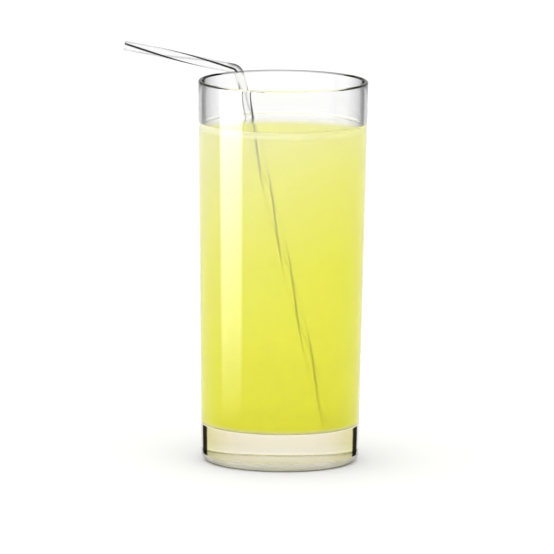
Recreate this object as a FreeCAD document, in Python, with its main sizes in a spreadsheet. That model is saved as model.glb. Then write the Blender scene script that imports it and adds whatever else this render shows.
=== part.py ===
"""A tall glass of lemonade with a bent drinking straw.

Millimetres. Z is up, the origin is the middle of the glass's foot, X points to the
drinker's right and Y away from the drinker, so the straw leans on the far left of the rim.
"""

import FreeCAD, Part

import math
import os

import PartDesign
import Sketcher

V = FreeCAD.Vector

SIZES = [
    # The tumbler: a pressed glass with a thick base, slightly wider at the lip.
    ("glass_height", 149.0),
    ("lip_outer_radius", 33.0),
    ("foot_outer_radius", 30.55),
    ("lip_wall", 1.6),
    ("low_wall", 2.2),
    ("base_thickness", 14.5),
    ("heel_round", 3.2),
    ("floor_round", 1.2),
    ("lip_flat", 0.2),
    # The shallow hollow under the foot, which leaves a ring to stand on.
    ("punt_radius", 23.5),
    ("punt_depth", 1.1),
    # The lemonade, with the low edge where it climbs the glass.
    ("fill_gap", 17.0),
    ("edge_climb", 0.8),
    ("edge_reach", 1.7),
    # The straw: a thin clear tube with one bend.
    ("straw_radius", 2.0),
    ("straw_wall", 0.4),
    ("bend_radius", 3.3),
    ("arm_length", 43.3),
    # How the straw stands: compass angles about Z from +X, and the rise of its arm.
    ("lean_compass", 128.0),
    ("foot_compass", -46.5),
    ("arm_compass", 178.0),
    ("arm_rise", 11.3),
    # The bend hangs on the lip, which holds the leg this far in from the glass's side.
    ("leg_inset", 1.2),
    ("seat_gap", 0.12),
]

# Edges are told apart to this many millimetres.
SAME_PLACE = 1e-4

doc = FreeCAD.newDocument("glass_of_lemonade")
sizes = doc.addObject("Spreadsheet::Sheet", "sizes")


def fill_sheet(named_values, first_row):
    """Write each name and value in a row of the sheet, with the name as its alias."""
    for row, (alias, value) in enumerate(named_values, start=first_row):
        sizes.set("A%d" % row, alias)
        sizes.set("B%d" % row, str(value))
        sizes.setAlias("B%d" % row, alias)
    doc.recompute()


fill_sheet(SIZES, 1)


def size(alias):
    """The value that the sheet holds under this name."""
    return float(sizes.get(alias))


def origin_feature(body, role):
    """One of a body's own planes or axes."""
    return next(f for f in body.Origin.OriginFeatures if f.Role == role)


def plane_sketch(body, name, plane):
    """A sketch on one of the body's own planes."""
    sketch = body.newObject("Sketcher::SketchObject", name)
    sketch.AttachmentSupport = [(origin_feature(body, plane), "")]
    sketch.MapMode = "FlatFace"
    return sketch


def upright_sketch(body, name):
    """A sketch on the body's XZ plane: its X is the distance from the body's Z axis."""
    return plane_sketch(body, name, "XZ_Plane")


def tie(sketch, name, kind, where, expression):
    """Hold one distance of a sketch to an expression of the sheet."""
    number = sketch.addConstraint(Sketcher.Constraint(kind, *where))
    sketch.renameConstraint(number, name)
    sketch.setExpression("Constraints." + name, expression)


def closed_loop(sketch, points):
    """Straight edges from point to point, joined end to end."""
    count = len(points)
    for i in range(count):
        sketch.addGeometry(Part.LineSegment(points[i], points[(i + 1) % count]), False)
    for i in range(count):
        sketch.addConstraint(
            Sketcher.Constraint("Coincident", i, 2, (i + 1) % count, 1)
        )


def turned(body, sketch, kind, name):
    """A full turn of a sketch about the glass's axis, added or cut."""
    feature = body.newObject(kind, name)
    feature.Profile = sketch
    feature.ReferenceAxis = (sketch, ["V_Axis"])
    feature.Angle = 360.0
    doc.recompute()
    return feature


def ring_edges(feature, radius, height):
    """The names of the round edges at this radius and height."""
    names = []
    for number, edge in enumerate(feature.Shape.Edges, start=1):
        if edge.Degenerated or not isinstance(edge.Curve, Part.Circle):
            continue
        curve = edge.Curve
        off = math.hypot(curve.Radius - radius, curve.Center.z - height)
        if off < SAME_PLACE:
            names.append("Edge%d" % number)
    return names


def rounded(body, feature, name, rings, expression):
    """Round the edges at the given (radius, height) pairs."""
    edges = []
    for radius, height in rings:
        edges += ring_edges(feature, radius, height)
    if len(edges) != len(rings):
        raise RuntimeError("%s found %d of %d edges" % (name, len(edges), len(rings)))
    fillet = body.newObject("PartDesign::Fillet", name)
    fillet.Base = (feature, edges)
    fillet.setExpression("Radius", expression)
    doc.recompute()
    return fillet


# Radii that follow from the sheet. The outside of the glass is one straight taper.
GLASS_H = size("glass_height")
FLOOR_Z = size("base_thickness")
LIP_OUT = size("lip_outer_radius")
FOOT_OUT = size("foot_outer_radius")
LIP_IN = LIP_OUT - size("lip_wall")
FLOOR_IN = FOOT_OUT + (LIP_OUT - FOOT_OUT) * FLOOR_Z / GLASS_H - size("low_wall")
LIP_IN_CELLS = "sizes.lip_outer_radius - sizes.lip_wall"
FLOOR_IN_CELLS = (
    "sizes.foot_outer_radius + (sizes.lip_outer_radius - sizes.foot_outer_radius)"
    " * sizes.base_thickness / sizes.glass_height - sizes.low_wall"
)


def inner_radius(height):
    """The radius of the glass's inner wall at a height."""
    return FLOOR_IN + (LIP_IN - FLOOR_IN) * (height - FLOOR_Z) / (GLASS_H - FLOOR_Z)


# ---- The glass: its outside is turned first, then the inside is taken out.
glass = doc.addObject("PartDesign::Body", "glass")
glass.Label = "glass"

outside = upright_sketch(glass, "glass_outside")
closed_loop(
    outside,
    [V(0, 0, 0), V(FOOT_OUT, 0, 0), V(LIP_OUT, GLASS_H, 0), V(0, GLASS_H, 0)],
)
outside.addConstraint(Sketcher.Constraint("Coincident", 0, 1, -1, 1))
outside.addConstraint(Sketcher.Constraint("Horizontal", 0))
outside.addConstraint(Sketcher.Constraint("Horizontal", 2))
outside.addConstraint(Sketcher.Constraint("Vertical", 3))
tie(outside, "foot", "DistanceX", (-1, 1, 0, 2, FOOT_OUT), "sizes.foot_outer_radius")
tie(outside, "lip", "DistanceX", (-1, 1, 1, 2, LIP_OUT), "sizes.lip_outer_radius")
tie(outside, "tall", "DistanceY", (-1, 1, 1, 2, GLASS_H), "sizes.glass_height")
doc.recompute()
blank = turned(glass, outside, "PartDesign::Revolution", "glass_blank")

inside = upright_sketch(glass, "glass_inside")
closed_loop(
    inside,
    [V(0, FLOOR_Z, 0), V(FLOOR_IN, FLOOR_Z, 0), V(LIP_IN, GLASS_H, 0), V(0, GLASS_H, 0)],
)
inside.addConstraint(Sketcher.Constraint("PointOnObject", 0, 1, -2))
inside.addConstraint(Sketcher.Constraint("Horizontal", 0))
inside.addConstraint(Sketcher.Constraint("Horizontal", 2))
inside.addConstraint(Sketcher.Constraint("Vertical", 3))
tie(inside, "floor_z", "DistanceY", (-1, 1, 0, 1, FLOOR_Z), "sizes.base_thickness")
tie(inside, "floor_x", "DistanceX", (-1, 1, 0, 2, FLOOR_IN), FLOOR_IN_CELLS)
tie(inside, "lip_x", "DistanceX", (-1, 1, 1, 2, LIP_IN), LIP_IN_CELLS)
tie(inside, "lip_z", "DistanceY", (-1, 1, 1, 2, GLASS_H), "sizes.glass_height")
doc.recompute()
hollow = turned(glass, inside, "PartDesign::Groove", "glass_hollow")

# The punt is the part of a ball that stands above the foot's plane.
PUNT_R = size("punt_radius")
PUNT_H = size("punt_depth")
PUNT_BALL = (PUNT_R**2 + PUNT_H**2) / (2 * PUNT_H)
punt_sketch = upright_sketch(glass, "punt_outline")
punt_sketch.addGeometry(Part.LineSegment(V(0, 0, 0), V(PUNT_R, 0, 0)), False)
punt_sketch.addGeometry(
    Part.ArcOfCircle(
        Part.Circle(V(0, PUNT_H - PUNT_BALL, 0), V(0, 0, 1), PUNT_BALL),
        math.pi / 2 - math.asin(PUNT_R / PUNT_BALL),
        math.pi / 2,
    ),
    False,
)
punt_sketch.addGeometry(Part.LineSegment(V(0, PUNT_H, 0), V(0, 0, 0)), False)
punt_sketch.addConstraint(Sketcher.Constraint("Coincident", 0, 1, -1, 1))
punt_sketch.addConstraint(Sketcher.Constraint("Coincident", 0, 2, 1, 1))
punt_sketch.addConstraint(Sketcher.Constraint("Coincident", 1, 2, 2, 1))
punt_sketch.addConstraint(Sketcher.Constraint("Coincident", 2, 2, 0, 1))
punt_sketch.addConstraint(Sketcher.Constraint("Horizontal", 0))
punt_sketch.addConstraint(Sketcher.Constraint("Vertical", 2))
punt_sketch.addConstraint(Sketcher.Constraint("PointOnObject", 1, 3, -2))
tie(punt_sketch, "wide", "DistanceX", (-1, 1, 0, 2, PUNT_R), "sizes.punt_radius")
tie(punt_sketch, "deep", "DistanceY", (-1, 1, 1, 2, PUNT_H), "sizes.punt_depth")
doc.recompute()
punted = turned(glass, punt_sketch, "PartDesign::Groove", "glass_punt")

heel = rounded(glass, punted, "glass_heel", [(FOOT_OUT, 0)], "sizes.heel_round")
bowl = rounded(glass, heel, "glass_floor", [(FLOOR_IN, FLOOR_Z)], "sizes.floor_round")
lip = rounded(
    glass,
    bowl,
    "glass_lip",
    [(LIP_OUT, GLASS_H), (LIP_IN, GLASS_H)],
    "(sizes.lip_wall - sizes.lip_flat) / 2",
)

if not blank.Shape.Volume > hollow.Shape.Volume > punted.Shape.Volume:
    raise RuntimeError("the glass's inside or its punt was not cut")


# ---- The straw: a straight leg, one bend over the lip, and a straight arm.
STRAW_R = size("straw_radius")
BEND_R = size("bend_radius")
SEAT = size("seat_gap")
LIP_HALF = size("lip_wall") / 2
FIRST_LEAN = math.radians(20)
LEAN_STEPS = 30
RAISE_STEPS = 40


def compass(angle, radius, height):
    """A point at a compass angle about Z."""
    turn = math.radians(angle)
    return V(radius * math.cos(turn), radius * math.sin(turn), height)


def corner_reach(height):
    """How far the round at the edge of the floor stands in from the wall at this height."""
    rise = height - FLOOR_Z
    ball = size("floor_round")
    if rise >= ball:
        return 0.0
    return ball - math.sqrt(ball**2 - (ball - rise) ** 2)


def leg_ends():
    """The middle of the straw's lower end and the place where its leg passes the lip.

    The lower rim of the tube stands on the floor of the glass with its far side against
    the rounded corner, and the leg passes the lip at its inset. Both places depend on how
    far the leg leans, so the lean is guessed and then found step by step.
    """
    lean = FIRST_LEAN
    for _ in range(LEAN_STEPS):
        end_z = FLOOR_Z + STRAW_R * math.sin(lean) + SEAT
        far_z = end_z + STRAW_R * math.sin(lean)
        far_r = inner_radius(far_z) - corner_reach(far_z) - SEAT
        low_end = compass(size("foot_compass"), far_r - STRAW_R * math.cos(lean), end_z)
        push = LIP_HALF + STRAW_R + SEAT - LIP_HALF * math.sin(lean)
        lip_r = LIP_IN + LIP_HALF - push / math.cos(lean) - size("leg_inset")
        at_lip = compass(size("lean_compass"), lip_r, GLASS_H)
        leg = at_lip - low_end
        lean = math.acos(leg.z / leg.Length)
    return low_end, at_lip


LOW_END, AT_LIP = leg_ends()
LEG_WAY = (AT_LIP - LOW_END).normalize()
RISE = math.radians(size("arm_rise"))
ARM_WAY = compass(size("arm_compass"), math.cos(RISE), math.sin(RISE))
BEND_TURN = LEG_WAY.getAngle(ARM_WAY)
SETBACK = BEND_R * math.tan(BEND_TURN / 2)
LIP_RING = Part.Circle(V(0, 0, GLASS_H - LIP_HALF), V(0, 0, 1), LIP_IN + LIP_HALF)


def over_the_lip(corner):
    """The middle line of the bend and the arm, where leg and arm would meet at corner."""
    bend_from = corner - LEG_WAY * SETBACK
    bend_to = corner + ARM_WAY * SETBACK
    inward = (ARM_WAY - LEG_WAY).normalize()
    middle = corner + inward * BEND_R * (1 / math.cos(BEND_TURN / 2) - 1)
    arm_end = bend_to + ARM_WAY * size("arm_length")
    arm = Part.LineSegment(bend_to, arm_end)
    return Part.Wire([Part.Arc(bend_from, middle, bend_to).toShape(), arm.toShape()])


# The corner is moved up the leg's line until bend and arm just clear the lip. Each step
# halves the stretch that the right height lies in, which starts as two bends' width.
too_low = 0.0
high_enough = 4 * BEND_R
for _ in range(RAISE_STEPS):
    raised = (too_low + high_enough) / 2
    bend_and_arm = over_the_lip(AT_LIP + LEG_WAY * raised)
    if LIP_RING.toShape().distToShape(bend_and_arm)[0] < LIP_HALF + STRAW_R + SEAT:
        too_low = raised
    else:
        high_enough = raised
CORNER = AT_LIP + LEG_WAY * high_enough

# These two follow from the glass, and are kept in the sheet for the straw's sketch.
FOUND = [
    ("leg_length", (CORNER - LOW_END).Length - SETBACK),
    ("bend_angle", math.degrees(BEND_TURN)),
]
fill_sheet(FOUND, len(SIZES) + 1)

# The straw is drawn with its leg along its own Z and its arm towards its own X.
straw = doc.addObject("PartDesign::Body", "straw")
straw.Label = "straw"

LEG = size("leg_length")
spine = upright_sketch(straw, "straw_line")
spine.addGeometry(Part.LineSegment(V(0, 0, 0), V(0, LEG, 0)), False)
spine.addGeometry(
    Part.ArcOfCircle(
        Part.Circle(V(BEND_R, LEG, 0), V(0, 0, 1), BEND_R), math.pi - BEND_TURN, math.pi
    ),
    False,
)
BEND_END = V(
    BEND_R - BEND_R * math.cos(BEND_TURN), LEG + BEND_R * math.sin(BEND_TURN), 0
)
OPEN_END = BEND_END + V(math.sin(BEND_TURN), math.cos(BEND_TURN), 0) * size("arm_length")
spine.addGeometry(Part.LineSegment(BEND_END, OPEN_END), False)
spine.addConstraint(Sketcher.Constraint("Coincident", 0, 1, -1, 1))
spine.addConstraint(Sketcher.Constraint("Vertical", 0))
spine.addConstraint(Sketcher.Constraint("Tangent", 0, 2, 1, 2))
spine.addConstraint(Sketcher.Constraint("Tangent", 1, 1, 2, 1))
tie(spine, "leg", "DistanceY", (0, 1, 0, 2, LEG), "sizes.leg_length")
tie(spine, "bend", "Radius", (1, BEND_R), "sizes.bend_radius")
tie(spine, "arm", "Distance", (2, size("arm_length")), "sizes.arm_length")
tie(
    spine,
    "slope",
    "Angle",
    (2, math.pi / 2 - BEND_TURN),
    "90 deg - sizes.bend_angle * 1 deg",
)
doc.recompute()

wall_ring = plane_sketch(straw, "straw_wall_ring", "XY_Plane")
BORE_R = STRAW_R - size("straw_wall")
wall_ring.addGeometry(Part.Circle(V(0, 0, 0), V(0, 0, 1), STRAW_R), False)
wall_ring.addGeometry(Part.Circle(V(0, 0, 0), V(0, 0, 1), BORE_R), False)
wall_ring.addConstraint(Sketcher.Constraint("Coincident", 0, 3, -1, 1))
wall_ring.addConstraint(Sketcher.Constraint("Coincident", 1, 3, -1, 1))
tie(wall_ring, "outer", "Radius", (0, STRAW_R), "sizes.straw_radius")
tie(wall_ring, "bore", "Radius", (1, BORE_R), "sizes.straw_radius - sizes.straw_wall")
doc.recompute()

tube = straw.newObject("PartDesign::AdditivePipe", "straw_tube")
tube.Profile = wall_ring
tube.Spine = spine
doc.recompute()

ARM_SIDE = LEG_WAY.cross(ARM_WAY).cross(LEG_WAY).normalize()
straw.Placement = FreeCAD.Placement(
    LOW_END, FreeCAD.Rotation(ARM_SIDE, LEG_WAY.cross(ARM_SIDE), LEG_WAY, "ZXY")
)
doc.recompute()


# ---- The lemonade: the inside of the glass up to the level, cut round the straw.
LEVEL = GLASS_H - size("fill_gap")
CLIMB_Z = LEVEL + size("edge_climb")
CLIMB_X = inner_radius(CLIMB_Z)
REACH = size("edge_reach")
EDGE_R = (REACH**2 + size("edge_climb") ** 2) / (2 * size("edge_climb"))
FLAT_END = V(CLIMB_X - REACH, LEVEL, 0)
WALL_END = V(CLIMB_X, CLIMB_Z, 0)

fill = doc.addObject("PartDesign::Body", "lemonade_fill")
outline = upright_sketch(fill, "lemonade_outline")
outline.addGeometry(Part.LineSegment(V(0, FLOOR_Z, 0), V(FLOOR_IN, FLOOR_Z, 0)), False)
outline.addGeometry(Part.LineSegment(V(FLOOR_IN, FLOOR_Z, 0), WALL_END), False)
outline.addGeometry(
    Part.ArcOfCircle(
        Part.Circle(FLAT_END + V(0, EDGE_R, 0), V(0, 0, 1), EDGE_R),
        -math.pi / 2,
        -math.pi / 2 + math.asin(REACH / EDGE_R),
    ),
    False,
)
outline.addGeometry(Part.LineSegment(FLAT_END, V(0, LEVEL, 0)), False)
outline.addGeometry(Part.LineSegment(V(0, LEVEL, 0), V(0, FLOOR_Z, 0)), False)
outline.addGeometry(
    Part.LineSegment(V(FLOOR_IN, FLOOR_Z, 0), V(LIP_IN, GLASS_H, 0)), True
)
outline.addConstraint(Sketcher.Constraint("PointOnObject", 0, 1, -2))
outline.addConstraint(Sketcher.Constraint("Coincident", 0, 2, 1, 1))
outline.addConstraint(Sketcher.Constraint("Coincident", 1, 2, 2, 2))
outline.addConstraint(Sketcher.Constraint("Tangent", 2, 1, 3, 1))
outline.addConstraint(Sketcher.Constraint("Coincident", 3, 2, 4, 1))
outline.addConstraint(Sketcher.Constraint("Coincident", 4, 2, 0, 1))
outline.addConstraint(Sketcher.Constraint("Horizontal", 0))
outline.addConstraint(Sketcher.Constraint("Horizontal", 3))
outline.addConstraint(Sketcher.Constraint("Vertical", 4))
outline.addConstraint(Sketcher.Constraint("Coincident", 5, 1, 0, 2))
outline.addConstraint(Sketcher.Constraint("PointOnObject", 1, 2, 5))
tie(outline, "floor_z", "DistanceY", (-1, 1, 0, 1, FLOOR_Z), "sizes.base_thickness")
tie(outline, "floor_x", "DistanceX", (-1, 1, 0, 2, FLOOR_IN), FLOOR_IN_CELLS)
tie(outline, "lip_x", "DistanceX", (-1, 1, 5, 2, LIP_IN), LIP_IN_CELLS)
tie(outline, "lip_z", "DistanceY", (-1, 1, 5, 2, GLASS_H), "sizes.glass_height")
LEVEL_CELLS = "sizes.glass_height - sizes.fill_gap"
tie(outline, "level", "DistanceY", (-1, 1, 3, 2, LEVEL), LEVEL_CELLS)
tie(outline, "climb", "DistanceY", (2, 1, 2, 2, CLIMB_Z - LEVEL), "sizes.edge_climb")
tie(outline, "reach", "DistanceX", (2, 1, 2, 2, REACH), "sizes.edge_reach")
doc.recompute()
poured = turned(fill, outline, "PartDesign::Revolution", "lemonade_poured")
rounded(fill, poured, "lemonade_foot", [(FLOOR_IN, FLOOR_Z)], "sizes.floor_round")

lemonade = doc.addObject("Part::Cut", "lemonade")
lemonade.Label = "lemonade"
lemonade.Base = fill
lemonade.Tool = straw
lemonade.Placement = FreeCAD.Placement()
doc.recompute()


# ---- Nothing is written unless every feature and every piece is sound.
for feature in doc.Objects:
    if "Invalid" in feature.State or "Error" in feature.State:
        raise RuntimeError("%s did not build: %s" % (feature.Name, feature.State))

PIECES = [glass, lemonade, straw]
for piece in PIECES:
    if piece.Shape.isNull() or not piece.Shape.isValid():
        raise RuntimeError("%s has no sound shape" % piece.Label)
    if len(piece.Shape.Solids) != 1:
        raise RuntimeError("%s is not one solid" % piece.Label)

STRAW_LENGTH = LEG + BEND_R * BEND_TURN + size("arm_length")
STRAW_SOLID = math.pi * (STRAW_R**2 - BORE_R**2) * STRAW_LENGTH
SAME_VOLUME = 0.001
if abs(straw.Shape.Volume / STRAW_SOLID - 1) > SAME_VOLUME:
    raise RuntimeError("the straw's volume is not its section times its length")

os.makedirs("parts", exist_ok=True)
for piece in PIECES:
    piece.Shape.exportStep(os.path.join("parts", piece.Label + ".step"))
    box = piece.Shape.BoundBox
    print(
        "%s: %.1f cm3, x %.1f..%.1f, y %.1f..%.1f, z %.1f..%.1f mm"
        % (
            piece.Label,
            piece.Shape.Volume / 1000,
            box.XMin,
            box.XMax,
            box.YMin,
            box.YMax,
            box.ZMin,
            box.ZMax,
        )
    )
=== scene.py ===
import bpy
import math
from mathutils import Matrix, Vector


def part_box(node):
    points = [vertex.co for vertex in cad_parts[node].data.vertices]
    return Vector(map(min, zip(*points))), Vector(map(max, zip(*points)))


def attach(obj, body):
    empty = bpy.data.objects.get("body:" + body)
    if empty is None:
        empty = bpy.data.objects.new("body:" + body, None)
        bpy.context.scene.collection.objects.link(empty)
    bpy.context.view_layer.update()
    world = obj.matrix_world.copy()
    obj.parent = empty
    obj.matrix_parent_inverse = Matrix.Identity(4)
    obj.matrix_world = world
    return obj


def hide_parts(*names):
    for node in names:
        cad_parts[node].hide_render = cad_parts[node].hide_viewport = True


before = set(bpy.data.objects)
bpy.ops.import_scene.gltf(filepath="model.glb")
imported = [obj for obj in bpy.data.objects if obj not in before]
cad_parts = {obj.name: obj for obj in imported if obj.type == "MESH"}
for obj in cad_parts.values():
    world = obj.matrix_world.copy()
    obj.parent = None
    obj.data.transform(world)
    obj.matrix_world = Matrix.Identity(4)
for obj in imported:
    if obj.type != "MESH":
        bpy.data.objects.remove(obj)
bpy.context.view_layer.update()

# ---------------------------------------------------------------------------
# The studio: a pale table top, a bright white room, a tall strip lamp to the left and a
# wide soft lamp above. The glass stands in the middle of the table, and the camera
# looks at it from a little above.
# ---------------------------------------------------------------------------
glass_low, glass_high = [Vector(corner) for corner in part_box("glass")]
glass_tall = glass_high.z - glass_low.z
lip_outer = (glass_high.x - glass_low.x) / 2


def node(tree, kind, at=(0, 0), **values):
    """A shader node with some of its sockets or settings filled in."""
    made = tree.nodes.new(kind)
    made.location = at
    for name, value in values.items():
        if name in made.inputs:
            made.inputs[name].default_value = value
        else:
            setattr(made, name, value)
    return made


def wire(tree, source, socket, target, into):
    """Join two nodes by the names or numbers of their sockets."""
    tree.links.new(source.outputs[socket], target.inputs[into])


def ranged(tree, at, source, socket, before, after=(0.0, 1.0), smooth=False):
    """A value carried over from one range to another, held at its ends."""
    made = node(tree, "ShaderNodeMapRange", at)
    if smooth:
        made.interpolation_type = "SMOOTHSTEP"
    for end, value in zip(("From Min", "From Max", "To Min", "To Max"), (*before, *after)):
        made.inputs[end].default_value = value
    wire(tree, source, socket, made, "Value")
    return made


def new_material(name):
    """An empty node material and its output."""
    material = bpy.data.materials.new(name)
    material.use_nodes = True
    material.node_tree.nodes.clear()
    out = node(material.node_tree, "ShaderNodeOutputMaterial", (900, 0))
    return material, material.node_tree, out


def mesh_piece(name, points, faces, materials, slots=None, smooth=True):
    """A mesh object made from points and faces, with the material of each face."""
    mesh = bpy.data.meshes.new(name)
    mesh.from_pydata([tuple(p) for p in points], [], faces)
    mesh.validate()
    if smooth:
        mesh.shade_smooth()
    for material in materials:
        mesh.materials.append(material)
    if slots:
        mesh.polygons.foreach_set("material_index", slots)
    piece = bpy.data.objects.new(name, mesh)
    bpy.context.scene.collection.objects.link(piece)
    return piece


# The table top is matt and pale, and many times wider than the glass is tall.
table_half = 1.6
table_drop = 0.0001
table_tones = (0.40, 0.42)
table_material, tree, out = new_material("pale_table")
table_shader = node(
    tree, "ShaderNodeBsdfPrincipled", (500, 0), **{"Roughness": 0.9, "Specular IOR Level": 0.1}
)
cloud = node(tree, "ShaderNodeTexNoise", (0, 0), Scale=3.0, Detail=2.0)
tone = ranged(tree, (200, 0), cloud, "Fac", (0.0, 1.0), table_tones)
grey = node(tree, "ShaderNodeCombineColor", (350, 0))
for channel in ("Red", "Green", "Blue"):
    wire(tree, tone, "Result", grey, channel)
wire(tree, grey, "Color", table_shader, "Base Color")
wire(tree, table_shader, "BSDF", out, "Surface")
table = mesh_piece(
    "table_top",
    [
        (-table_half, -table_half, -table_drop),
        (table_half, -table_half, -table_drop),
        (table_half, table_half, -table_drop),
        (-table_half, table_half, -table_drop),
    ],
    [(0, 1, 2, 3)],
    [table_material],
    smooth=False,
)
table.visible_glossy = False

# The room is white to the eye. What it gives to matt things is brighter, most of all
# from the left, where the large soft window is.
room_plain = 1.04
room_left = 2.95
room_right = 2.5
room = bpy.data.worlds.new("white_room")
bpy.context.scene.world = room
room.use_nodes = True
tree = room.node_tree
tree.nodes.clear()
out = node(tree, "ShaderNodeOutputWorld", (1100, 0))
seen = node(tree, "ShaderNodeBackground", (700, 150), Strength=1.0)
seen.inputs["Color"].default_value = (1, 1, 1, 1)
given = node(tree, "ShaderNodeBackground", (700, -50))
given.inputs["Color"].default_value = (1, 1, 1, 1)
rays = node(tree, "ShaderNodeLightPath", (0, 350))
way = node(tree, "ShaderNodeTexCoord", (-400, 0))
way_parts = node(tree, "ShaderNodeSeparateXYZ", (-200, 0))
wire(tree, way, "Generated", way_parts, "Vector")
window = ranged(tree, (0, 0), way_parts, "X", (-1.0, 1.0), (room_left, room_right))
matt = node(tree, "ShaderNodeMath", (200, 150), operation="GREATER_THAN")
matt.inputs[1].default_value = 0.5
wire(tree, rays, "Diffuse Depth", matt, 0)
strength = node(tree, "ShaderNodeMix", (450, 0), data_type="FLOAT")
strength.inputs[2].default_value = room_plain
wire(tree, matt, "Value", strength, 0)
wire(tree, window, "Result", strength, 3)
wire(tree, strength, 0, given, "Strength")
pick = node(tree, "ShaderNodeMixShader", (900, 0))
wire(tree, rays, "Is Camera Ray", pick, 0)
wire(tree, given, "Background", pick, 1)
wire(tree, seen, "Background", pick, 2)
wire(tree, pick, "Shader", out, "Surface")

# The strip lamp: a tall soft box near the glass, dim at its foot and soft at both sides.
# It shows only as a highlight on shiny things.
strip_from = math.radians(52)
strip_to = math.radians(93)
strip_away = 0.25
strip_tall = 0.45
strip_sunk = 0.1
strip_bright = 12.4
strip_dim_below = -0.025
strip_full_above = 0.11
strip_near_soft = 0.022
strip_far_soft = 0.034
strip_near_side = -math.cos(strip_from) * strip_away
strip_far_side = -math.cos(strip_to) * strip_away
strip_material, tree, out = new_material("strip_lamp_glow")
glow = node(tree, "ShaderNodeEmission", (600, 0))
glow.inputs["Color"].default_value = (1.0, 0.99, 0.97, 1)
place = node(tree, "ShaderNodeTexCoord", (0, 0))
parts = node(tree, "ShaderNodeSeparateXYZ", (150, 0))
fade = ranged(
    tree, (350, 0), parts, "Z", (strip_dim_below, strip_full_above), (1.0, strip_bright)
)
nearer = ranged(
    tree, (350, -250), parts, "Y",
    (strip_near_side, strip_near_side + strip_near_soft), smooth=True,
)
farther = ranged(
    tree, (350, -500), parts, "Y",
    (strip_far_side, strip_far_side - strip_far_soft), smooth=True,
)
soft = node(tree, "ShaderNodeMath", (450, -350), operation="MULTIPLY")
glare = node(tree, "ShaderNodeMix", (550, -200), data_type="FLOAT")
glare.inputs[2].default_value = room_plain
wire(tree, place, "Object", parts, "Vector")
wire(tree, nearer, "Result", soft, 0)
wire(tree, farther, "Result", soft, 1)
wire(tree, soft, "Value", glare, 0)
wire(tree, fade, "Result", glare, 3)
wire(tree, glare, 0, glow, "Strength")
wire(tree, glow, "Emission", out, "Surface")
strip_points = []
for turn in (strip_from, strip_to):
    foot = Vector((-math.sin(turn), -math.cos(turn), 0)) * strip_away
    strip_points += [foot - Vector((0, 0, strip_sunk)), foot + Vector((0, 0, strip_tall))]
strip = mesh_piece(
    "strip_lamp", strip_points, [(0, 2, 3, 1)], [strip_material], smooth=False
)
strip.visible_camera = False
strip.visible_diffuse = False
strip.visible_transmission = False
strip.visible_shadow = False

# A wide soft lamp above and in front gives the table its gentle shading.
ceiling_wide = 1.2
ceiling_power = 6.0
ceiling_light = bpy.data.lights.new("ceiling_lamp", "AREA")
ceiling_light.shape = "DISK"
ceiling_light.size = ceiling_wide
ceiling_light.energy = ceiling_power
ceiling = bpy.data.objects.new("ceiling_lamp", ceiling_light)
ceiling.location = (0.25, -0.5, 1.6)
ceiling.rotation_euler = (-ceiling.location).to_track_quat("-Z", "Y").to_euler()
ceiling.visible_glossy = False
bpy.context.scene.collection.objects.link(ceiling)

# The camera: a long lens a good three metres away, looking slightly down and aimed just
# left of the middle of the glass. The aim is in shares of the glass's width and height.
camera_away = 3.24
camera_rise = math.radians(8.9)
camera_roll = math.radians(0.55)
lens_length = 541
film_width = 36
aim_left = 0.026
aim_up = 0.482
aim = Vector((-aim_left * lip_outer * 2, 0, glass_low.z + aim_up * glass_tall))
camera_data = bpy.data.cameras.new("camera")
camera_data.sensor_width = film_width
camera_data.lens = lens_length
camera_data.clip_end = 20
camera = bpy.data.objects.new("camera", camera_data)
camera.location = aim + camera_away * Vector(
    (0, -math.cos(camera_rise), math.sin(camera_rise))
)
look = (aim - camera.location).to_track_quat("-Z", "Y").to_matrix().to_4x4()
look = look @ Matrix.Rotation(camera_roll, 4, "Z")
camera.rotation_euler = look.to_euler()
bpy.context.scene.collection.objects.link(camera)
bpy.context.scene.camera = camera
bpy.context.scene.view_settings.view_transform = "Standard"
bpy.context.scene.view_settings.look = "None"

# Light goes through many layers of glass and plastic before it is lost.
bpy.context.scene.cycles.max_bounces = 24
bpy.context.scene.cycles.glossy_bounces = 16
bpy.context.scene.cycles.transmission_bounces = 20
bpy.context.scene.cycles.transparent_max_bounces = 24

# ---------------------------------------------------------------------------
# The glass: a tall tumbler of clear soda glass, blown in a mould, with a thick bottom,
# a gently spreading side and a lip rounded in the flame. It stands on the flat ring
# round the shallow hollow in its foot.
# ---------------------------------------------------------------------------
foot_outer = 0.03055
lip_wall = 0.0016
low_wall = 0.0022
base_thick = 0.0145
heel_round = 0.0032
floor_round = 0.0012
lip_round = 0.0007
punt_radius = 0.0235
punt_depth = 0.0011
fill_gap = 0.017
level = glass_tall - fill_gap


def outer_radius(height):
    """The outside of the tumbler at a height."""
    return foot_outer + (lip_outer - foot_outer) * height / glass_tall


floor_inner = outer_radius(base_thick) - low_wall
lip_inner = lip_outer - lip_wall


def inner_radius(height):
    """The inside of the tumbler at a height."""
    up = (height - base_thick) / (glass_tall - base_thick)
    return floor_inner + (lip_inner - floor_inner) * up


def rounded_corner(before, corner, after, size, steps):
    """Points of an arc of this radius that rounds a corner of an outline."""
    a = (Vector(before) - Vector(corner)).normalized()
    b = (Vector(after) - Vector(corner)).normalized()
    half = a.angle(b) / 2
    middle = Vector(corner) + (a + b).normalized() * size / math.sin(half)
    start = Vector(corner) + a * size / math.tan(half) - middle
    end = Vector(corner) + b * size / math.tan(half) - middle
    sweep = start.angle(end)
    points = []
    for step in range(steps + 1):
        share = step / steps
        points.append(
            middle
            + (start * math.sin((1 - share) * sweep) + end * math.sin(share * sweep))
            / math.sin(sweep)
        )
    return points


def line_points(a, b, steps):
    """Points strictly between two ends of a straight line."""
    return [Vector(a).lerp(Vector(b), i / steps) for i in range(1, steps)]


around = 256
on_axis = 1e-7


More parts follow.
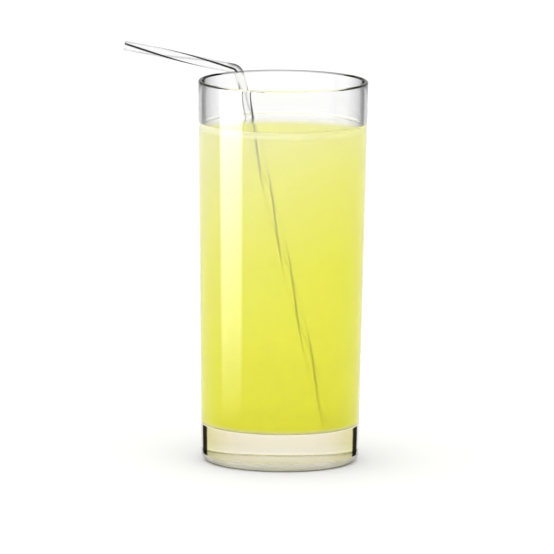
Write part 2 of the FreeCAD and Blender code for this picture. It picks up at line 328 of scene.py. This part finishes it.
def lathe(name, outline, materials, slots):
    """Turn an outline of (radius, height) about the glass's axis."""
    points, rings = [], []
    for radius, height in outline:
        if radius < on_axis:
            rings.append([len(points)])
            points.append((0, 0, height))
            continue
        ring = []
        for step in range(around):
            angle = 2 * math.pi * step / around
            ring.append(len(points))
            points.append((radius * math.cos(angle), radius * math.sin(angle), height))
        rings.append(ring)
    faces, face_slots = [], []
    for low, high, slot in zip(rings, rings[1:], slots):
        for step in range(around):
            after = (step + 1) % around
            if len(low) == 1:
                face = (low[0], high[after], high[step])
            elif len(high) == 1:
                face = (low[step], low[after], high[0])
            else:
                face = (low[step], low[after], high[after], high[step])
            faces.append(face)
            face_slots.append(slot)
    return mesh_piece(name, points, faces, materials, face_slots)


def filled_ramp(tree, stops, at):
    """A colour ramp with these stops, each a position and a grey or a colour."""
    ramp = node(tree, "ShaderNodeValToRGB", at)
    elements = ramp.color_ramp.elements
    while len(elements) < len(stops):
        elements.new(0.5)
    for element, (position, tone) in zip(elements, stops):
        if isinstance(tone, float):
            tone = (tone, tone, tone)
        element.position = position
        element.color = (tone[0], tone[1], tone[2], 1)
    return ramp


def clear_glass(name, through, mirrored, ior=1.5, rough=0.0, from_inside=None, frost=None):
    """Clear glass. What it lets through and what it mirrors both follow how steeply it
    is seen, as stops from face on to edge on. From inside it may have one even tone,
    and its outside may have some matt frost, given as its share and its tone."""
    material, tree, out = new_material(name)
    edge = node(tree, "ShaderNodeLayerWeight", (0, 0), Blend=0.5)
    through_ramp = filled_ramp(tree, through, (200, 200))
    mirror_ramp = filled_ramp(tree, mirrored, (200, -200))
    bend = node(tree, "ShaderNodeBsdfRefraction", (700, 200), Roughness=rough, IOR=ior)
    gloss = node(tree, "ShaderNodeBsdfGlossy", (700, -100), Roughness=rough)
    split = node(tree, "ShaderNodeFresnel", (700, 400), IOR=ior)
    both = node(tree, "ShaderNodeMixShader", (900, 0))
    wire(tree, edge, "Facing", through_ramp, "Fac")
    wire(tree, edge, "Facing", mirror_ramp, "Fac")
    for ramp, shader in ((through_ramp, bend), (mirror_ramp, gloss)):
        if from_inside:
            side = node(tree, "ShaderNodeNewGeometry", (200, 500))
            even = node(tree, "ShaderNodeMix", (500, 300), data_type="RGBA")
            even.inputs[7].default_value = (*from_inside, 1)
            wire(tree, side, "Backfacing", even, 0)
            wire(tree, ramp, "Color", even, 6)
            wire(tree, even, 2, shader, "Color")
        else:
            wire(tree, ramp, "Color", shader, "Color")
    wire(tree, split, "Fac", both, 0)
    wire(tree, bend, "BSDF", both, 1)
    wire(tree, gloss, "BSDF", both, 2)
    if frost:
        side = node(tree, "ShaderNodeNewGeometry", (700, 700))
        amount, frost_tone = frost
        share = ranged(tree, (900, 500), side, "Backfacing", (0.0, 1.0), (amount, 0.0))
        matt = node(tree, "ShaderNodeBsdfDiffuse", (900, -300))
        matt.inputs["Color"].default_value = (*frost_tone, 1)
        frosted = node(tree, "ShaderNodeMixShader", (1100, 0))
        wire(tree, share, "Result", frosted, 0)
        wire(tree, both, "Shader", frosted, 1)
        wire(tree, matt, "BSDF", frosted, 2)
        both = frosted
    wire(tree, both, "Shader", out, "Surface")
    return material


# The parts of the tumbler, each with its own tints. The tints follow how steeply each part is
# seen, and they paint its shading. The thick base has a painted yellow that stands in for the
# drink seen through it. Painted shade makes it nearly black close to its sides.
outside_glass = clear_glass(
    "clear_glass_outside", [(0.0, 0.99), (1.0, 0.97)], [(0.0, 1.0), (1.0, 0.9)]
)
# Painted shade: the dry inside turns dark edge on, and what it mirrors has a thin dark line at
# one angle.
dry_glass = clear_glass(
    "clear_glass_inside",
    [
        (0.0, 0.975), (0.25, 0.97), (0.39, 0.935), (0.52, 0.80),
        (0.7, 0.60), (0.79, 0.2), (0.9, 0.05),
    ],
    [
        (0.2, 0.9), (0.249, 0.45), (0.2546, 0.08), (0.261, 0.35), (0.268, 0.58),
        (0.39, 0.85), (0.52, 0.7), (0.7, 0.5), (0.8, 0.35), (0.9, 0.1),
    ],
)
wet_glass = clear_glass(
    "clear_glass_wetted", [(0.0, 1.0), (1.0, 0.95)], [(0.0, 1.0), (1.0, 1.0)]
)
lip_outside_glass = clear_glass(
    "clear_glass_lip_outside",
    [(0.0, 0.97), (0.8, 0.93), (0.92, 0.85), (1.0, 0.7)],
    [(0.0, 0.95), (0.85, 0.9), (0.97, 0.8)],
    ior=1.13,
)
# Painted shade: the inside of the lip is drawn darker, giving the dark line along the rim.
lip_inside_glass = clear_glass(
    "clear_glass_lip_inside",
    [(0.0, 0.75), (0.25, 0.45), (0.5, 0.3), (0.75, 0.35), (0.85, 0.6), (1.0, 0.6)],
    [(0.0, 0.9), (0.6, 0.7), (0.9, 0.7)],
    ior=1.13,
    from_inside=(0.97, 0.97, 0.97),
)
# Painted yellow stands in for the drink seen through the base, and a band of painted shade,
# nearly black, lies close to its sides.
base_glass = clear_glass(
    "clear_glass_base",
    [
        (0.0, (0.94, 0.91, 0.81)),
        (0.17, (0.92, 0.88, 0.76)),
        (0.29, (0.89, 0.85, 0.67)),
        (0.45, (0.82, 0.785, 0.52)),
        (0.58, (0.79, 0.75, 0.40)),
        (0.61, (0.76, 0.72, 0.38)),
        (0.645, (0.02, 0.017, 0.01)),
        (0.78, (0.02, 0.017, 0.01)),
        (0.81, (0.7, 0.7, 0.65)),
        (1.0, (0.9, 0.9, 0.88)),
    ],
    [
        (0.5, 1.0), (0.6, 0.9), (0.645, 0.03), (0.78, 0.03), (0.81, 0.7), (1.0, 0.9),
    ],
)
# Painted shade: the heel darkens towards edge on, giving the dark line along the bottom.
heel_glass = clear_glass(
    "clear_glass_heel",
    [
        (0.0, (0.90, 0.89, 0.83)),
        (0.5, (0.84, 0.83, 0.76)),
        (0.78, (0.70, 0.69, 0.60)),
        (0.88, (0.35, 0.34, 0.28)),
        (0.95, (0.1, 0.09, 0.07)),
    ],
    [(0.0, 1.0), (0.8, 0.8), (0.92, 0.3)],
    rough=0.25,
    from_inside=(0.94, 0.92, 0.85),
    ior=1.1,
    frost=(0.5, (0.51, 0.505, 0.49)),
)
foot_glass = clear_glass(
    "clear_glass_foot", [(0.0, 0.98), (1.0, 0.95)], [(0.0, 1.0), (1.0, 0.98)], rough=0.35
)

# The hollow under the foot is the cap of a large ball.
punt_ball = (punt_radius**2 + punt_depth**2) / (2 * punt_depth)
outline, slots = [], []


def add_points(points, slot):
    """More of the outline, with the material that its faces take."""
    for point in points:
        outline.append(point)
        slots.append(slot)


# The outline runs from the middle of the foot up the outside, over the lip and down the
# inside, which is dry above the drink's level and wet below it.
OUTSIDE, DRY, WET, LIP_OUT, LIP_IN, BASE, HEEL, FOOT = range(8)
foot_steps = 3
base_steps = 6
side_steps = 24
flat_steps = 8
corner_steps = 12
lip_steps = 8
punt_steps = 10
for step in range(punt_steps + 1):
    r = punt_radius * step / punt_steps
    z = punt_depth - punt_ball + math.sqrt(punt_ball**2 - r**2)
    add_points([Vector((r, max(z, 0.0)))], FOOT)
side_low = (foot_outer, 0.0)
side_high = (lip_outer, glass_tall)
add_points(line_points((punt_radius, 0), (foot_outer - heel_round, 0), foot_steps), FOOT)
heel = rounded_corner((0, 0), side_low, side_high, heel_round, corner_steps)
add_points(heel[:-1], HEEL)
add_points(heel[-1:], BASE)
lip_out = rounded_corner(side_low, side_high, (0, glass_tall), lip_round, lip_steps)
base_top = Vector((outer_radius(base_thick), base_thick))
add_points(line_points(heel[-1], base_top, base_steps), BASE)
add_points([base_top], OUTSIDE)
add_points(line_points(base_top, lip_out[0], side_steps), OUTSIDE)
add_points(lip_out, LIP_OUT)
inner_low = (floor_inner, base_thick)
inner_high = (lip_inner, glass_tall)
lip_in = rounded_corner(
    (lip_outer, glass_tall), inner_high, inner_low, lip_round, lip_steps
)
add_points(lip_in[:-1], LIP_IN)
add_points(lip_in[-1:], DRY)
corner = rounded_corner(inner_high, inner_low, (0, base_thick), floor_round, corner_steps)
wet_line = Vector((inner_radius(level), level))
add_points(line_points(lip_in[-1], wet_line, flat_steps), DRY)
add_points([wet_line], WET)
add_points(line_points(wet_line, corner[0], side_steps), WET)
add_points(corner, WET)
add_points(line_points(corner[-1], (0, base_thick), flat_steps), WET)
add_points([Vector((0, base_thick))], WET)

glass = lathe(
    "tumbler",
    outline,
    [
        outside_glass, dry_glass, wet_glass, lip_outside_glass, lip_inside_glass,
        base_glass, heel_glass, foot_glass,
    ],
    slots,
)
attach(glass, "root")
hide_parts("glass")

# ---------------------------------------------------------------------------
# The lemonade: cloudy lemon juice and water, poured to a finger below the lip. It fills the
# glass from wall to wall, and its edge creeps a little way up. It is drawn palest at the top
# and deeper yellow towards the bottom.
# ---------------------------------------------------------------------------
edge_climb = 0.0008
edge_reach = 0.0017
into_wall = 0.00015
drink_half = 0.03

# The side's colours, from the floor of the glass up to the level. Painted light makes it paler
# on the left, nearer the window. It also makes it pale at the very floor, where the rounded
# corner faces down into shade.
left_tones = [
    (0.0, (0.97, 0.95, 0.6)),
    (0.015, (0.95, 0.94, 0.02)),
    (0.25, (0.94, 0.935, 0.07)),
    (0.55, (0.955, 0.95, 0.30)),
    (0.85, (0.98, 0.975, 0.70)),
    (0.98, (0.985, 0.98, 0.90)),
    (1.0, (0.95, 0.94, 0.66)),
]
right_tones = [
    (0.0, (0.97, 0.95, 0.6)),
    (0.015, (0.94, 0.935, 0.0)),
    (0.25, (0.93, 0.925, 0.005)),
    (0.55, (0.94, 0.935, 0.035)),
    (0.85, (0.97, 0.965, 0.33)),
    (0.98, (0.985, 0.98, 0.60)),
    (1.0, (0.94, 0.93, 0.36)),
]
side_clear_tone = (0.98, 0.98, 0.32, 1)
side_clear_shares = [(0.0, 0.3), (0.22, 0.5), (0.98, 0.5), (0.998, 0.05)]

# The flat top's colours, from its near side to its far side, and how much it shines. They are
# drawn much darker than the side's, as painted shade, and whiter towards the far side, as
# painted reflection of the far wall.
top_tones = [
    (0.0, (0.63, 0.62, 0.20)),
    (0.31, (0.57, 0.56, 0.18)),
    (0.39, (0.555, 0.545, 0.18)),
    (0.48, (0.54, 0.53, 0.21)),
    (0.6, (0.55, 0.54, 0.27)),
    (1.0, (0.56, 0.55, 0.30)),
]
top_clear_tone = (0.98, 0.98, 0.62, 1)
top_clear_shares = [(0.0, 0.6), (0.55, 0.55), (0.75, 0.3), (1.0, 0.1)]
top_gloss_shares = [
    (0.46, 0.0), (0.52, 0.14), (0.58, 0.36), (0.66, 0.62), (0.74, 0.86), (0.84, 1.0),
]
top_gloss_view = (0.68, 0.825)
top_bow = 14.0
# Painted highlight: the thin film on the wall is drawn near white.
film_highlight_tone = (0.62, 0.62, 0.64, 1)
film_from = level + 0.00005
film_full = level + 0.0003

# The pulp: soft clouds that pale or deepen the colour a little.
pulp_size = 22.0
pulp_share = 0.35
pulp_tone = (1.0, 0.985, 0.8, 1)


def multiplied(tree, at, first, first_socket, second, second_socket):
    """Two values multiplied."""
    made = node(tree, "ShaderNodeMath", at, operation="MULTIPLY")
    wire(tree, first, first_socket, made, 0)
    wire(tree, second, second_socket, made, 1)
    return made


def side_colours(tree, parts):
    """The side's height, and its colour by height and by left or right, with painted light on
    the left.
    """
    depth = ranged(tree, (-700, 0), parts, "Z", (base_thick, level))
    left_ramp = filled_ramp(tree, left_tones, (-500, 200))
    right_ramp = filled_ramp(tree, right_tones, (-500, -100))
    wire(tree, depth, "Result", left_ramp, "Fac")
    wire(tree, depth, "Result", right_ramp, "Fac")
    # Painted light: the paler left colours blend into the right ones across the drink.
    sideways = ranged(tree, (-500, 450), parts, "X", (-drink_half, drink_half))
    blend = node(tree, "ShaderNodeMix", (-200, 100), data_type="RGBA")
    wire(tree, sideways, "Result", blend, 0)
    wire(tree, left_ramp, "Color", blend, 6)
    wire(tree, right_ramp, "Color", blend, 7)
    return depth, blend


def top_colours(tree, parts):
    """How far back a spot on the top lies, along lines bowed like the far wall, and its
    colour, with painted shade and painted reflection. The thin film that climbs the wall is
    drawn nearly white, a painted highlight."""
    squared = multiplied(tree, (-900, -200), parts, "X", parts, "X")
    bowed = node(tree, "ShaderNodeMath", (-800, -350), operation="MULTIPLY_ADD")
    wire(tree, squared, "Value", bowed, 0)
    bowed.inputs[1].default_value = top_bow
    wire(tree, parts, "Y", bowed, 2)
    depth = ranged(tree, (-700, 0), bowed, "Value", (-drink_half, drink_half))
    top_ramp = filled_ramp(tree, top_tones, (-500, 200))
    wire(tree, depth, "Result", top_ramp, "Fac")
    film = ranged(tree, (-500, 900), parts, "Z", (film_from, film_full))
    blend = node(tree, "ShaderNodeMix", (-100, 400), data_type="RGBA")
    blend.inputs[7].default_value = film_highlight_tone
    wire(tree, film, "Result", blend, 0)
    wire(tree, top_ramp, "Color", blend, 6)
    return depth, blend


def with_wet_gloss(tree, depth, drink):
    """The drink with a shine over it that grows at a low view and towards the far wall."""
    glance = node(tree, "ShaderNodeLayerWeight", (300, 700), Blend=0.5)
    low_view = ranged(tree, (500, 700), glance, "Facing", top_gloss_view, smooth=True)
    gloss_ramp = filled_ramp(tree, top_gloss_shares, (300, 900))
    wire(tree, depth, "Result", gloss_ramp, "Fac")
    share = multiplied(tree, (700, 800), low_view, "Result", gloss_ramp, "Color")
    gloss = node(tree, "ShaderNodeBsdfGlossy", (650, -300), Roughness=0.05)
    gloss.inputs["Color"].default_value = (0.99, 0.99, 0.97, 1)
    glossed = node(tree, "ShaderNodeMixShader", (850, 200))
    wire(tree, share, "Value", glossed, 0)
    wire(tree, drink, "Shader", glossed, 1)
    wire(tree, gloss, "BSDF", glossed, 2)
    return glossed


def lemonade_look(name, top):
    """Cloudy yellow drink with fine pulp, a little see-through. Its top is wet."""
    material, tree, out = new_material(name)
    place = node(tree, "ShaderNodeTexCoord", (-1100, 0))
    parts = node(tree, "ShaderNodeSeparateXYZ", (-900, 0))
    wire(tree, place, "Object", parts, "Vector")
    depth, colour = top_colours(tree, parts) if top else side_colours(tree, parts)
    pulp = node(tree, "ShaderNodeTexNoise", (-500, -300), Scale=pulp_size, Detail=4.0)
    wire(tree, place, "Object", pulp, "Vector")
    pulp_range = ranged(tree, (-300, -300), pulp, "Fac", (0.0, 1.0), (0.0, pulp_share))
    mixed = node(tree, "ShaderNodeMix", (0, 0), data_type="RGBA", blend_type="MULTIPLY")
    mixed.inputs[7].default_value = pulp_tone
    wire(tree, pulp_range, "Result", mixed, 0)
    wire(tree, colour, 2, mixed, 6)
    body = node(
        tree,
        "ShaderNodeBsdfPrincipled",
        (250, 100),
        **{
            "Roughness": 0.04 if top else 0.6,
            "IOR": 1.12 if top else 1.33,
            "Specular IOR Level": 0.5 if top else 0.0,
        },
    )
    wire(tree, mixed, 2, body, "Base Color")
    clear = node(tree, "ShaderNodeBsdfTransparent", (450, -200))
    clear.inputs["Color"].default_value = top_clear_tone if top else side_clear_tone
    clear_shares = top_clear_shares if top else side_clear_shares
    clear_ramp = filled_ramp(tree, clear_shares, (300, 400))
    drink = node(tree, "ShaderNodeMixShader", (650, 0))
    wire(tree, depth, "Result", clear_ramp, "Fac")
    wire(tree, clear_ramp, "Color", drink, 0)
    wire(tree, body, "BSDF", drink, 1)
    wire(tree, clear, "BSDF", drink, 2)
    if top:
        drink = with_wet_gloss(tree, depth, drink)
    wire(tree, drink, "Shader", out, "Surface")
    return material


lemonade_side = lemonade_look("cloudy_lemonade", top=False)
lemonade_top = lemonade_look("cloudy_lemonade_top", top=True)

SIDE, TOP = range(2)
drink_side_steps = 32
climb_steps = 8
outline, slots = [], []
drink_floor = base_thick - into_wall
drink_low = (floor_inner + into_wall, drink_floor)
climb_z = level + edge_climb
climb_r = inner_radius(climb_z)
drink_high = (climb_r + into_wall, climb_z)
add_points([Vector((0, drink_floor))], SIDE)
add_points(line_points((0, drink_floor), drink_low, flat_steps)[:-1], SIDE)
corner = rounded_corner((0, drink_floor), drink_low, drink_high, floor_round, corner_steps)
add_points(corner, SIDE)
add_points(line_points(corner[-1], drink_high, drink_side_steps), SIDE)
add_points([Vector(drink_high)], TOP)
climb_ball = (edge_reach**2 + edge_climb**2) / (2 * edge_climb)
for step in range(climb_steps + 1):
    r = climb_r - edge_reach * step / climb_steps
    x = r - (climb_r - edge_reach)
    z = level + climb_ball - math.sqrt(climb_ball**2 - x**2)
    add_points([Vector((r, z))], TOP)
add_points(line_points((climb_r - edge_reach, level), (0, level), flat_steps), TOP)
add_points([Vector((0, level))], TOP)
lemonade = lathe("lemonade_drink", outline, [lemonade_side, lemonade_top], slots)
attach(lemonade, "root")
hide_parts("lemonade")

# ---------------------------------------------------------------------------
# The straw: a clear plastic tube with three fine dark ribs that run round it like a
# screw thread, bent sharply by hand. Its lower end rests in the corner of the floor of
# the glass and its bend hangs over the lip.
# ---------------------------------------------------------------------------
straw_low = Vector((0.018346, -0.019333, 0.015378))
straw_corner = Vector((-0.017667, 0.022575, 0.150206))
straw_open = Vector((-0.062135, 0.024128, 0.159097))
straw_radius = 0.002
straw_wall = 0.0004
bend_radius = 0.0033
rib_proud = 0.00012
rib_half = 0.00032
rib_count = 3
arm_pitch = 0.110
leg_pitch = 0.097
rib_start = 0.0025

leg_way = (straw_corner - straw_low).normalized()
arm_way = (straw_open - straw_corner).normalized()
bend_turn = leg_way.angle(arm_way)
setback = bend_radius * math.tan(bend_turn / 2)
bend_start = straw_corner - leg_way * setback
bend_side = leg_way.cross(arm_way).normalized()
bend_in = bend_side.cross(leg_way).normalized()
bend_middle = bend_start + bend_in * bend_radius
leg_length = (bend_start - straw_low).length
bend_length = bend_radius * bend_turn
arm_length = (straw_open - straw_corner).length - setback
straw_length = leg_length + bend_length + arm_length


def straw_at(distance):
    """The middle of the straw and its heading after a length of tube."""
    if distance <= leg_length:
        return straw_low + leg_way * distance, leg_way
    if distance <= leg_length + bend_length:
        turn = (distance - leg_length) / bend_radius
        heading = leg_way * math.cos(turn) + bend_in * math.sin(turn)
        return bend_middle - bend_side.cross(heading) * bend_radius, heading
    rest = distance - leg_length - bend_length
    return straw_open - arm_way * (arm_length - rest), arm_way


long_step = 0.0016
bend_step = 0.0003


def straw_stations():
    """Lengths of tube at which a ring is set."""
    spots = [0.0]
    for length, step in (
        (leg_length, long_step), (bend_length, bend_step), (arm_length, long_step),
    ):
        count = math.ceil(length / step)
        start = spots[-1]
        spots += [start + length * (i + 1) / count for i in range(count)]
    return spots


# The fold is where the tube's outer side buckles, just past the start of the bend. Painted
# shade darkens the tube there.
fold_middle = leg_length + 0.0030
fold_half = 0.0030
fold_turn = 1.2


def fold_shade_at(distance, angle):
    """How strongly painted shade darkens the fold, from 0 to 1."""
    along = (distance - fold_middle) / fold_half
    outer = (angle - math.pi) / fold_turn
    return math.exp(-(along**4) - outer**4)


def rib_turn_at(distance, angle):
    """The turn about the tube, measured from the first rib."""
    twist = min(distance - leg_length, 0) / leg_pitch
    twist += (max(distance, leg_length) - straw_length + rib_start) / arm_pitch
    return angle - math.pi / 2 - 2 * math.pi * twist


def outside_radius(turned):
    """The outside of the tube at a turn. The ribs stand a little proud."""
    nearest = (turned * rib_count + math.pi) % (2 * math.pi) - math.pi
    across = nearest / rib_count * straw_radius / rib_half
    return straw_radius - rib_proud * (1 - math.exp(-across * across))


straw_around = 72
straw_points, straw_faces, straw_turns, straw_fold_shades = [], [], [], []
stations = straw_stations()
for layer in ("outside", "bore"):
    for distance in stations:
        middle, heading = straw_at(distance)
        up = bend_side.cross(heading).normalized()
        for step in range(straw_around):
            angle = 2 * math.pi * step / straw_around
            turned = rib_turn_at(distance, angle)
            if layer == "outside":
                radius = outside_radius(turned)
            else:
                radius = straw_radius - straw_wall
            way = up * math.cos(angle) + bend_side * math.sin(angle)
            straw_points.append(middle + way * radius)
            straw_turns.append(turned * rib_count / (2 * math.pi))
            straw_fold_shades.append(fold_shade_at(distance, angle))
rings = len(stations)
for layer in (0, 1):
    first = layer * rings * straw_around
    for ring in range(rings - 1):
        for step in range(straw_around):
            after = (step + 1) % straw_around
            a = first + ring * straw_around
            b = a + straw_around
            face = (a + step, a + after, b + after, b + step)
            straw_faces.append(face if layer == 0 else face[::-1])
for ring in (0, rings - 1):
    for step in range(straw_around):
        after = (step + 1) % straw_around
        a = ring * straw_around
        b = (rings + ring) * straw_around
        face = (a + step, b + step, b + after, a + after)
        straw_faces.append(face if ring == 0 else face[::-1])

# Clear plastic shows most where it is seen edge on. Its shine there is real gloss, and its
# grey there is painted shade standing in for the dark edges of a clear tube. In the drink it
# hardly shows.
plastic_shade_tone = (0.30, 0.31, 0.31)
plastic_gloss_and_shade = (0.03, 0.28)
plastic_gloss_and_shade_from = 0.35

# The drawn ribs: their dark middle and soft side, as shares of the turn from one rib to
# the next, and the heights between which they fade under the bend and come back.
rib_tone = (0.008, 0.008, 0.008)
rib_dark = 0.98
rib_soft = (0.07, 0.14)
far_rib_share = 0.3
fading = (0.1415, 0.1465)
faded_share = 0.08
returning = (0.1485, 0.1500)


def either(tree, at, first, first_socket, second, second_socket):
    """The larger of two values."""
    made = node(tree, "ShaderNodeMath", at, operation="MAXIMUM")
    wire(tree, first, first_socket, made, 0)
    wire(tree, second, second_socket, made, 1)
    return made


def rib_marks(tree, parts):
    """Where the ribs are dark, and where painted shade darkens the fold."""
    stripe = node(tree, "ShaderNodeAttribute", (-700, 0), attribute_name="rib_turn")
    wave = node(tree, "ShaderNodeMath", (-500, 0), operation="PINGPONG")
    wave.inputs[1].default_value = 0.5
    wire(tree, stripe, "Fac", wave, 0)
    line = ranged(tree, (-300, 0), wave, "Value", rib_soft, (rib_dark, 0.0), smooth=True)
    # Painted shade on the fold, stored on each point of the tube.
    fold = node(tree, "ShaderNodeAttribute", (-700, -300), attribute_name="fold")
    above = ranged(tree, (-500, 900), parts, "Z", returning, smooth=True)
    below = ranged(tree, (-500, 1100), parts, "Z", fading, (1.0, faded_share), smooth=True)
    shown = either(tree, (-300, 900), above, "Result", below, "Result")
    drawn = multiplied(tree, (-200, 700), line, "Result", shown, "Value")
    return either(tree, (-150, 800), drawn, "Value", fold, "Fac")


def clear_plastic(name, ribbed):
    """Thin clear plastic, grey with painted shade where it is seen edge on, with dark ribs
    drawn on the outside of the tube.
    """
    material, tree, out = new_material(name)
    shine = node(
        tree, "ShaderNodeBsdfPrincipled", (300, 0), **{"Roughness": 0.12, "IOR": 1.25}
    )
    shine.inputs["Base Color"].default_value = (*plastic_shade_tone, 1)
    see = node(tree, "ShaderNodeBsdfTransparent", (300, 250))
    edge = node(tree, "ShaderNodeLayerWeight", (-500, 300), Blend=0.5)
    gloss_and_shade = ranged(tree, (-300, 300), edge, "Facing", (plastic_gloss_and_shade_from, 1.0), plastic_gloss_and_shade)
    place = node(tree, "ShaderNodeTexCoord", (-900, 600))
    parts = node(tree, "ShaderNodeSeparateXYZ", (-700, 600))
    dry = node(tree, "ShaderNodeMath", (-500, 600), operation="GREATER_THAN")
    dry.inputs[1].default_value = level
    wire(tree, place, "Object", parts, "Vector")
    wire(tree, parts, "Z", dry, 0)
    solid = multiplied(tree, (-100, 450), gloss_and_shade, "Result", dry, "Value")
    if ribbed:
        marks = rib_marks(tree, parts)
        tone = filled_ramp(tree, [(0.0, plastic_shade_tone), (0.3, rib_tone)], (-50, 0))
        wire(tree, marks, "Value", tone, "Fac")
        wire(tree, tone, "Color", shine, "Base Color")
        side = node(tree, "ShaderNodeNewGeometry", (-500, -300))
        fainter = ranged(
            tree, (-300, -300), side, "Backfacing", (0.0, 1.0), (1.0, far_rib_share)
        )
        seen = multiplied(tree, (-100, -200), marks, "Value", fainter, "Result")
        solid = either(tree, (0, 300), solid, "Value", seen, "Value")
    both = node(tree, "ShaderNodeMixShader", (700, 0))
    wire(tree, solid, 0, both, 0)
    wire(tree, see, "BSDF", both, 1)
    wire(tree, shine, "BSDF", both, 2)
    wire(tree, both, "Shader", out, "Surface")
    return material


ribbed_plastic = clear_plastic("clear_straw", ribbed=True)
bore_plastic = clear_plastic("clear_straw_bore", ribbed=False)

outer_faces = (rings - 1) * straw_around
straw_slots = [0 if i < outer_faces else 1 for i in range(len(straw_faces))]
straw = mesh_piece(
    "drinking_straw", straw_points, straw_faces, [ribbed_plastic, bore_plastic], straw_slots
)
for attribute, values in (("rib_turn", straw_turns), ("fold", straw_fold_shades)):
    straw.data.attributes.new(attribute, "FLOAT", "POINT")
    straw.data.attributes[attribute].data.foreach_set("value", values)
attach(straw, "root")
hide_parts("straw")
